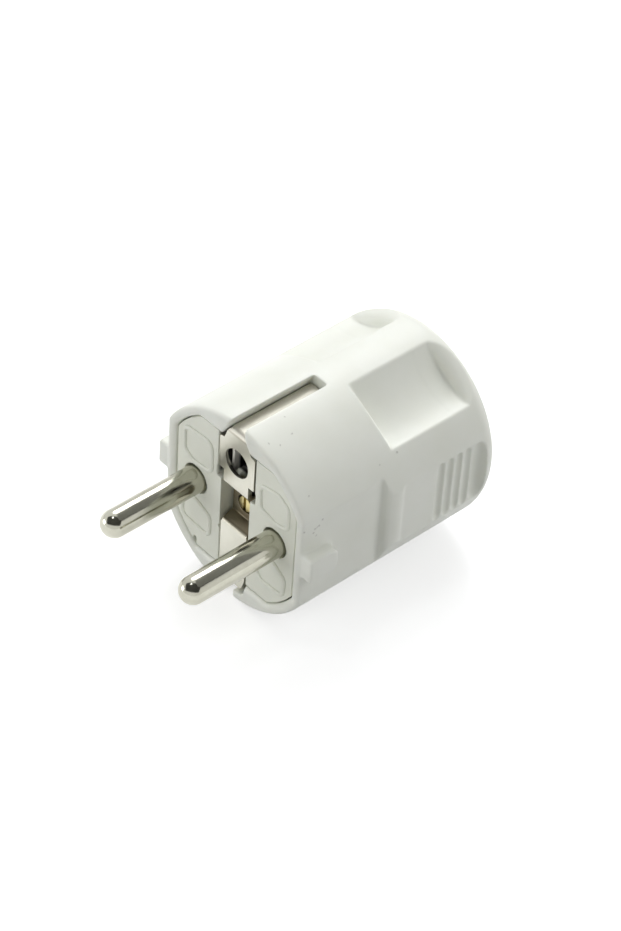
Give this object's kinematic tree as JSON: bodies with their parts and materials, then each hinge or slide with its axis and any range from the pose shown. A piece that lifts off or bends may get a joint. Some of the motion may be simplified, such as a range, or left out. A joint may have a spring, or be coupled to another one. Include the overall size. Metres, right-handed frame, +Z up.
{
  "type": "electrical plug",
  "caption": "Rewireable earthed mains plug: round plastic shell with finger dishes and grip ribs, round nickel pins, side earth strips and an earth pin socket.",
  "frame": {"origin": "centre of the bounding box at its lowest point: the middle of the plug's length and width, on the surface that it lies on", "axes": "+X across the two pins to the right one, +Y from the pins to the cable end, +Z up to the earth pin hole side"},
  "size_m": [0.0368, 0.06, 0.0365],
  "materials": {
    "shell_plastic": "satin white moulded plastic",
    "insert_plastic": "satin light grey-white moulded plastic",
    "nickel": "polished nickel plate, slightly warm",
    "strip_metal": "rolled strip, nickel plated, satin",
    "spring_metal": "spring strip, bright",
    "brass": "machined brass",
    "zinc_steel": "zinc plated steel"
  },
  "bodies": {
    "root": {"outer_shell": "shell_plastic", "front_insert": "insert_plastic", "pin_left": "nickel", "pin_right": "nickel", "terminal_block_left": "brass", "terminal_block_right": "brass", "terminal_screw_left": "zinc_steel", "terminal_screw_right": "zinc_steel", "earth_bracket": "strip_metal", "earth_pin_clip": "spring_metal", "earth_terminal_washer": "zinc_steel", "earth_terminal_screw": "zinc_steel", "assembly_screw": "brass", "assembly_nut": "brass", "cord_clamp_bar": "insert_plastic", "cord_clamp_screw_left": "zinc_steel", "cord_clamp_screw_right": "zinc_steel", "cord_clamp_nut_left": "zinc_steel", "cord_clamp_nut_right": "zinc_steel"}
  },
  "joints": []
}
